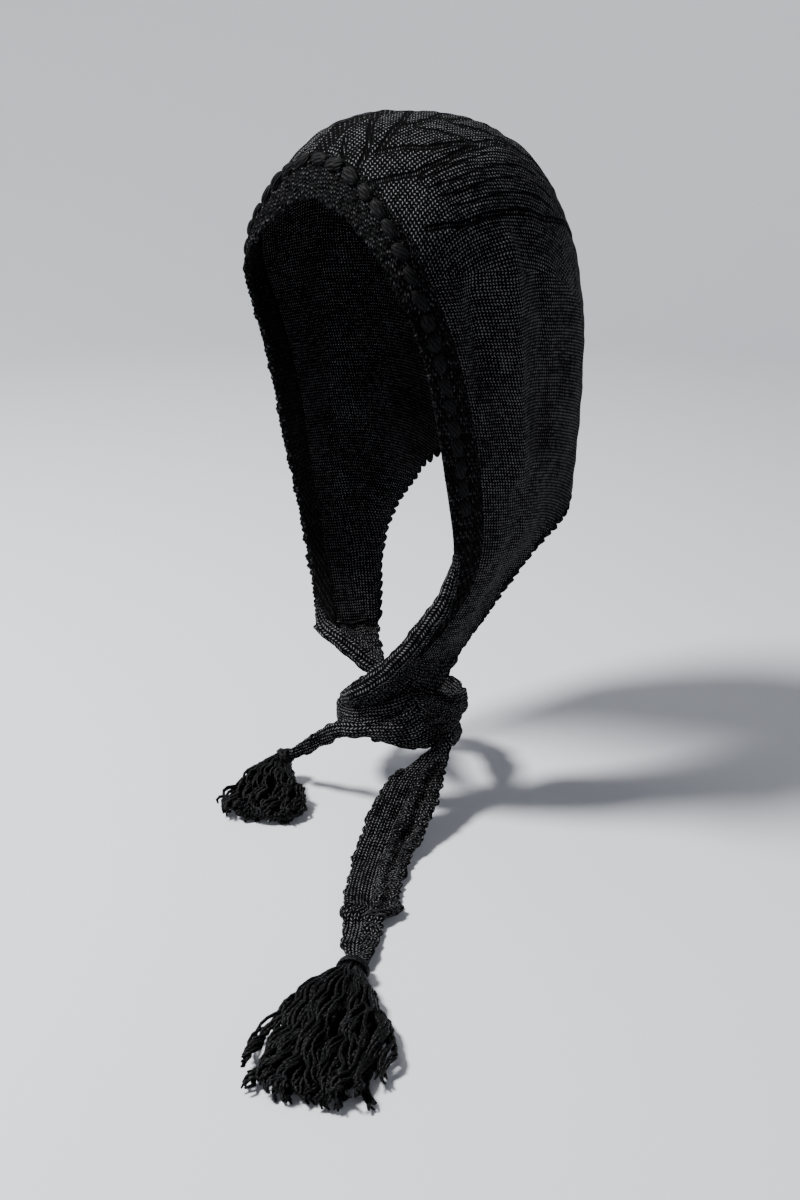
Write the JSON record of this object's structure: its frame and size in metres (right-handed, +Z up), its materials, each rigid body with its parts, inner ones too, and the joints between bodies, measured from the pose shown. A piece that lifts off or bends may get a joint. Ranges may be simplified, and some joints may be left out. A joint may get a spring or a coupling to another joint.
{
  "type": "knitted bonnet",
  "caption": "Fine knitted bonnet with a raised border round the face, long side flaps knotted in front as ties, and tassels on the ends.",
  "frame": {"origin": "the inside top of the crown, where the bonnet sits on a head", "axes": "+Z up along the head, face opening towards -Y, X from the wearer's right to the wearer's left"},
  "size_m": [0.3273, 0.4367, 0.4699],
  "materials": {
    "knit": "fine matt black stockinette knit",
    "border_knit": "bumpy matt black knit with raised puffs",
    "tie_knit": "matt black knit band",
    "tassel_yarn": "loose black twisted yarn"
  },
  "bodies": {
    "root": {"crown": "knit", "front_border": "border_knit", "nape_edging": "border_knit", "tie_left": "tie_knit", "tie_right": "tie_knit", "tassel_front": "tassel_yarn", "tassel_side": "tassel_yarn"}
  },
  "joints": []
}
